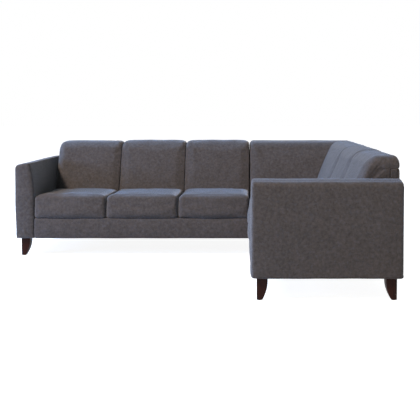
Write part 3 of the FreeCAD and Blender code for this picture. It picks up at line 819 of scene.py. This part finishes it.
# %% [markdown]
# ## The arms
# An arm is a tall padded slab. Its outer side is upright and rolls over at the top, and its inner side
# leans away from the sitter towards the top. The profile is carried from front to rear and drawn in a
# little at both ends, so that its front edge is a soft roll of about 18 mm.

# %% Arms
arm_cell, arm_roll = 0.012, 0.018
arm_across, arm_up = 14, 52
arm_angles = (4, 18, 34, 52, 70, 90)
shoulder_drop, lean_height, outer_roll = 0.011, 0.251, 0.038
inner_bow, outer_bow = 0.0075, 0.005
arm_pressure, arm_swell = 2.0, 0.003


def arm_sides(draw):
    """Four sides of the arm's front outline: across the bottom, up the inside, over the top, down outside."""
    outer, inner = draw, arm_width - draw
    top = arm_top - draw
    low = base_bottom + min(draw, 0.006)
    bend = arm_top - shoulder_drop - lean_height
    foot_of_roll = (outer, top - outer_roll)
    turn = (outer + outer_roll, top - shoulder_drop)
    crest = (inner - 0.042, top)
    shoulder = (inner - 0.030, top - shoulder_drop)
    inside = [(inner, low), *bowed((inner, bend), shoulder, -inner_bow)]
    over = [*bowed(shoulder, crest, -0.0035, 4), *bowed(crest, turn, -0.003)[1:]]
    outside = [*bowed(turn, foot_of_roll, -0.0089), *bowed(foot_of_roll, (outer, low), -outer_bow)[1:]]
    return [[(outer, low), (inner, low)], inside, over, outside]


def make_arm(name, seed):
    rings, steps = [], []
    for a in arm_angles:
        turn = math.radians(a)
        steps.append((arm_roll * (1 - math.cos(turn)), arm_roll * (1 - math.sin(turn))))
    count = int((depth - 2 * arm_roll) / arm_cell)
    steps += [(arm_roll + (depth - 2 * arm_roll) * n / count, 0.0) for n in range(1, count)]
    steps += [(depth - v, draw) for v, draw in steps[:len(arm_angles)]]
    for v, draw in sorted(steps):
        flat = ring(arm_sides(draw), arm_across, arm_up)
        rings.append(np.column_stack([flat[:, 0], np.full(len(flat), v), flat[:, 1]]))
    piece = closed_skin(name, rings, arm_across, arm_up, ((0, -0.006, 0), (0, 0.002, 0)))
    plump(piece, arm_pressure, arm_swell, points_of(piece)[:, 2] < base_bottom + 0.01)
    finer(piece)
    uneven(piece, seed, 0.0010, 0.22)
    return piece


left_arm = make_arm("left_arm", 41)
near_arm = copy_of(left_arm, "near_arm")
put_in_place(left_arm, in_long)
put_in_place(near_arm, in_return, 0.0, return_run)
for piece in (left_arm, near_arm):
    dressed(piece, "sofa", "upholstery", heather, piece.name + "_cover")
print("arms", len(left_arm.data.polygons), "faces each")

# %% [markdown]
# ## The padded bands
# Under the seats the front rail is covered with a padded band. It is tacked along its top and bottom
# edges and swells between them, which gives the soft line of light along its upper half.

# %% Front bands
band_cell, band_crown, band_draw = 0.012, 0.008, 0.004
band_across, band_up = 3, 15


def band_sides(draw, crown):
    low, high = base_bottom + draw, base_top - fit_gap - draw
    edge, rear = 0.010, 0.020
    face = bowed((draw, high - edge), (draw, low + edge), -crown)
    bottom = [*rounded((draw + edge, low + edge), edge, 225, 270, 4), (rear, low)]
    top = [(rear, high), *rounded((draw + edge, high - edge), edge, 90, 135, 4)]
    front = [
        *rounded((draw + edge, high - edge), edge, 135, 180, 4), *face[1:-1],
        *rounded((draw + edge, low + edge), edge, 180, 225, 4),
    ]
    return [bottom, [(rear, low), (rear, high)], top, front]


def make_band(name, length, seed):
    rings = []
    count = int(length / band_cell)
    for n in range(count + 1):
        u = soft_gap + (length - 2 * soft_gap) * n / count
        edge = min(u, length - u)
        draw = band_draw * max(0.0, 1 - edge / band_cell) ** 2
        crown = band_crown * min(1.0, 0.15 + edge / 0.16)
        flat = ring(band_sides(draw, crown), band_across, band_up)
        rings.append(np.column_stack([np.full(len(flat), u), flat]))
    piece = finer(closed_skin(name, rings, band_across, band_up))
    uneven(piece, seed, 0.0008, 0.18)
    return piece


long_band = put_in_place(make_band("long_band", 3 * seat_width, 51), in_long, arm_width)
return_band = put_in_place(make_band("return_band", 2 * seat_width, 52), in_return)
for piece in (long_band, return_band):
    dressed(piece, "sofa", "upholstery", heather, piece.name.replace("_band", "_front_band"))
print("bands", len(long_band.data.polygons), len(return_band.data.polygons))

# %% [markdown]
# ## Backs of the units, decks and the corner seat
# Behind each unit a thin padded board closes the frame, and under the cushions lies a felt deck. Both are
# shallow pads: a rounded outline, stacked through the small thickness, with a patch that swells slightly.

# %% Shallow pads
def shallow_pad(name, low, high, thin, swell, cell=0.03, roll=0.005):
    """A pad that fills a box, with its small thickness along the axis thin."""
    wide = [k for k in range(3) if k != thin]
    a0, a1, b0, b1 = low[wide[0]], high[wide[0]], low[wide[1]], high[wide[1]]
    across, up = max(4, int((a1 - a0) / cell)), max(4, int((b1 - b0) / cell))
    rings = []
    for angle in (-90, -55, -20, 20, 55, 90):
        turn = math.radians(angle)
        draw = roll * (1 - math.cos(turn))
        at = low[thin] + (high[thin] - low[thin]) * (0.5 + 0.5 * math.sin(turn))
        flat = ring(rounded_outline(a0 + draw, a1 - draw, b0 + draw, b1 - draw, 0.008, 0.0), across, up)
        full = np.zeros((len(flat), 3))
        full[:, wide[0]], full[:, wide[1]], full[:, thin] = flat[:, 0], flat[:, 1], at
        rings.append(full)
    domes = [[0.0] * 3, [0.0] * 3]
    domes[0][thin], domes[1][thin] = -swell[0], swell[1]
    return finer(closed_skin(name, rings, across, up, domes))


def joined(name, parts):
    """Several pads sewn into one piece."""
    points, quads, first = [], [], 0
    for part in parts:
        points.extend(points_of(part))
        quads.extend([tuple(first + v for v in p.vertices) for p in part.data.polygons])
        first += len(part.data.vertices)
        bpy.data.objects.remove(part)
    return sewn_mesh(name, points, quads)


board_swell, wrap_width, wrap_foot = 0.004, 0.014, 0.130


def board(start, end, thin=1):
    low, high = (*start, base_bottom), (*end, panel_top)
    return shallow_pad("board", low, high, thin, (0.0, board_swell))


def wrap(start, end):
    """The narrow pad that closes the open end of a back frame."""
    low = (start, frame_front + fit_gap, base_bottom + wrap_foot)
    return shallow_pad("wrap", low, (end, panel_front, panel_top), 0, (0.0, 0.0))


def outside_back(unit, place, parts):
    piece = put_in_place(joined(unit + "_outside_back_cover", parts), place)
    dressed(piece, "sofa", "upholstery", heather, unit + "_outside_back")


long_parts = [board((arm_width, panel_front), (long_run, depth)), wrap(arm_width, arm_width + wrap_width)]
outside_back("long", in_long, long_parts)
open_side = 2 * seat_width
return_parts = [board((0.0, panel_front), (open_side, depth)), wrap(open_side - wrap_width, open_side)]
outside_back("return", in_return, return_parts)
corner_parts = [board((0.0, panel_front), (depth, depth)), board((panel_front, 0.0), (depth, panel_front), 0)]
outside_back("corner", in_corner, corner_parts)

for unit in ("long", "return", "corner"):
    low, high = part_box(unit + "_seat_deck")
    deck = shallow_pad(unit + "_deck", low, high, 2, (0.0, 0.0), 0.025, 0.004)
    dressed(deck, "sofa", "deck_felt", felt, unit + "_seat_deck")

put_in_place(corner_seat, in_corner)
dressed(corner_seat, "corner_seat_cushion_body", "upholstery", heather, "corner_seat_cushion")
print("pads made")

# %% [markdown]
# ## Pieces that keep the frame's shape
# Legs, glides, straps and plates already have the right shape in the frame. Where they can be seen, a
# copy gets its edges eased with a small bevel, as sandpaper or a press tool leaves them. The timber and
# bolts inside stay as they are and only get their finish.

# %% Eased copies of frame pieces
fold, smooth_limit = math.radians(30), math.radians(40)


def eased(node, name, ease, steps=3):
    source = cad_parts[node]
    shape = bmesh.new()
    shape.from_mesh(source.data)
    bmesh.ops.remove_doubles(shape, verts=shape.verts, dist=1e-5)
    bmesh.ops.dissolve_limit(shape, angle_limit=math.radians(1.0), verts=shape.verts, edges=shape.edges)
    if ease:
        sharp = [e for e in shape.edges if len(e.link_faces) == 2 and e.calc_face_angle() > fold]
        bmesh.ops.bevel(
            shape, geom=sharp, offset=ease, segments=steps, affect="EDGES", clamp_overlap=True, profile=0.5
        )
    mesh = bpy.data.meshes.new(name)
    shape.to_mesh(mesh)
    shape.free()
    mesh.polygons.foreach_set("use_smooth", [True] * len(mesh.polygons))
    mesh.set_sharp_from_angle(angle=smooth_limit)
    piece = bpy.data.objects.new(name, mesh)
    bpy.context.scene.collection.objects.link(piece)
    return piece


for node in ("left_front_leg", "left_rear_leg", "near_front_leg", "near_rear_leg", "corner_leg"):
    dressed(eased(node, node + "_stained", 0.0022), "sofa", "stained_wood", stained, node)
for node, made, ease, steps, slot, finish in (
    ("support_legs", "moulded", 0.0010, 3, "support_plastic", support_plastic),
    ("leg_glides", "moulded", 0.0008, 3, "glide_plastic", glide_plastic),
    ("joining_plates", "pressed", 0.0006, 2, "zinc_steel", zinc),
):
    dressed(eased(node, node + "_" + made, ease, steps), "sofa", slot, finish, node)
for unit in ("long", "return", "corner"):
    straps = eased(unit + "_webbing", unit + "_straps", 0.0005, 1)
    dressed(straps, "sofa", "webbing", webbing, unit + "_webbing")
timber_ends = ("_rail", "_rail_1", "_rail_2", "_frame", "_block")
for node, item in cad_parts.items():
    if node.endswith(timber_ends) or node == "leg_bolts":
        for socket in item.material_slots:
            socket.material = zinc if node == "leg_bolts" else softwood
bare = [node for node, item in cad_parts.items() if not item.material_slots]
print("eased copies made, nodes without a material slot:", bare)

# %% [markdown]
# ## The cloth underneath
# A thin black cloth is stapled under each unit to keep dust out. It is a real sheet, stretched between
# its staples, so it gets enough points to hang a few millimetres in its middle.

# %% Dust covers
sheet_cell, sheet_sag = 0.06, 0.004


def dust_cover(unit):
    node = unit + "_dust_cover"
    piece = eased(node, unit + "_dust_sheet", 0.0)
    shape = bmesh.new()
    shape.from_mesh(piece.data)
    bmesh.ops.triangulate(shape, faces=shape.faces)
    for _ in range(5):
        long_edges = [e for e in shape.edges if e.calc_length() > sheet_cell]
        if not long_edges:
            break
        bmesh.ops.subdivide_edges(shape, edges=long_edges, cuts=1)
        bmesh.ops.triangulate(shape, faces=shape.faces)
    low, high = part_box(node)
    for point in shape.verts:
        s = (point.co.x - low.x) / (high.x - low.x)
        t = (point.co.y - low.y) / (high.y - low.y)
        point.co.z -= sheet_sag * max(0.0, math.sin(math.pi * s) * math.sin(math.pi * t))
    area = sum(f.calc_area() for f in shape.faces) / 2
    shape.to_mesh(piece.data)
    shape.free()
    dressed(piece, "sofa", "dust_cloth", dust_cloth, node)
    size = (high.x - low.x, high.y - low.y)
    area = min(area, size[0] * size[1])
    print(unit, "dust cloth", round(size[0], 3), "x", round(size[1], 3), "m")


for unit in ("long", "return", "corner"):
    dust_cover(unit)

# %% [markdown]
# ## Floor, light and camera
# A warm key lamp far off at the left front gives the shadow of the left arm, and a blue window lamp at the
# left rear colours all that faces up. A low blue lamp at the left reaches the backs of the return. Faint
# fills from the front, the rear and the right keep the other sides readable. The floor and the world look
# white only to the camera and in reflections, so the white doesn't spill onto the cloth.

# %% Studio
floor_half, floor_glow = 40, 0.90


def white_floor():
    mesh = bpy.data.meshes.new("floor")
    corners = [(x * floor_half, y * floor_half, 0) for x, y in ((-1, -1), (1, -1), (1, 1), (-1, 1))]
    mesh.from_pydata(corners, [], [(0, 1, 2, 3)])
    floor = bpy.data.objects.new("floor", mesh)
    bpy.context.scene.collection.objects.link(floor)
    r = Recipe("studio_floor")
    seen = r.node("LightPath")
    direct = r.sums("MAXIMUM", seen.outputs["Is Camera Ray"], seen.outputs["Is Glossy Ray"])
    direct = r.sums("MAXIMUM", direct, seen.outputs["Is Transmission Ray"])
    r.put(r.shader.inputs["Base Color"], (0.55, 0.55, 0.55, 1.0))
    r.put(r.shader.inputs["Roughness"], 0.9)
    glow = r.node("Emission", Color=(1, 1, 1, 1), Strength=r.sums("MULTIPLY", direct, floor_glow))
    both = r.node("AddShader", i0=r.shader.outputs[0], i1=glow.outputs[0])
    output = r.tree.nodes["Material Output"]
    r.tree.links.new(both.outputs[0], output.inputs["Surface"])
    mesh.materials.append(r.material)
    floor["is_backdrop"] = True


def white_world(strength):
    world = bpy.data.worlds.new("studio")
    bpy.context.scene.world = world
    world.use_nodes = True
    tree = world.node_tree
    seen = tree.nodes.new("ShaderNodeLightPath")
    highest = seen.outputs["Is Camera Ray"]
    for kind in ("Is Glossy Ray", "Is Transmission Ray"):
        step = tree.nodes.new("ShaderNodeMath")
        step.operation = "MAXIMUM"
        tree.links.new(highest, step.inputs[0])
        tree.links.new(seen.outputs[kind], step.inputs[1])
        highest = step.outputs[0]
    scale = tree.nodes.new("ShaderNodeMapRange")
    scale.inputs["To Min"].default_value = strength
    scale.inputs["To Max"].default_value = 1.0
    tree.links.new(highest, scale.inputs["Value"])
    tint = tree.nodes.new("ShaderNodeMix")
    tint.data_type = "RGBA"
    tint.inputs[6].default_value = (0.80, 0.95, 1.0, 1.0)
    tint.inputs[7].default_value = (1.0, 1.0, 1.0, 1.0)
    tree.links.new(highest, tint.inputs["Factor"])
    background = tree.nodes["Background"]
    tree.links.new(tint.outputs[2], background.inputs["Color"])
    tree.links.new(scale.outputs[0], background.inputs["Strength"])


def soft_light(name, place, aim, size, power, colour):
    lamp = bpy.data.lights.new(name, "AREA")
    lamp.shape = "DISK"
    lamp.size = size
    lamp.energy = power
    lamp.color = colour
    holder = bpy.data.objects.new(name, lamp)
    bpy.context.scene.collection.objects.link(holder)
    holder.location = place
    way = Vector(aim) - Vector(place)
    holder.rotation_euler = way.to_track_quat("-Z", "Y").to_euler()


neutral = (1.0, 1.0, 1.0)
white_floor()
white_world(0.10)
soft_light("key", (-7.4, -6.6, 10.6), (-0.4, 0.3, 0.6), 2.0, 1780, (1.0, 0.81, 0.68))
soft_light("window", (-6.8, 2.9, 5.8), (0.4, 0.0, 0.5), 2.6, 970, (0.28, 0.57, 1.0))
soft_light("front", (1.5, -7.0, 5.0), (0.0, 0.0, 0.4), 3.5, 25, neutral)
soft_light("side", (-6.0, -1.6, 1.7), (1.0, -0.7, 0.6), 1.6, 200, (0.30, 0.52, 1.0))
soft_light("rear", (2.2, 6.5, 4.2), (0.0, 0.0, 0.5), 3.5, 150, neutral)
soft_light("right", (6.5, 1.2, 0.9), (1.2, 0.3, 0.45), 1.2, 130, neutral)
bpy.context.scene.view_settings.view_transform = "Standard"

# %% Camera
camera_tip = 3.0
lens = bpy.data.cameras.new("photo_view")
lens.sensor_width = 36.0
lens.lens = 58.41
lens.shift_x, lens.shift_y = -0.086, -0.155
camera = bpy.data.objects.new("photo_view", lens)
bpy.context.scene.collection.objects.link(camera)
camera.location = (0.4321, -5.1312, 1.1559)
camera.rotation_euler = (math.radians(90.0 - camera_tip), 0.0, 0.0)
bpy.context.scene.camera = camera
print("camera", [round(v, 3) for v in camera.location], "lens", lens.lens)

# %% [markdown]
# ## The size of the model
# Cloth may stand a little proud of the frame's box. The box round everything that renders, without the floor,
# is measured here.

# %% Size of the model
low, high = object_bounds()
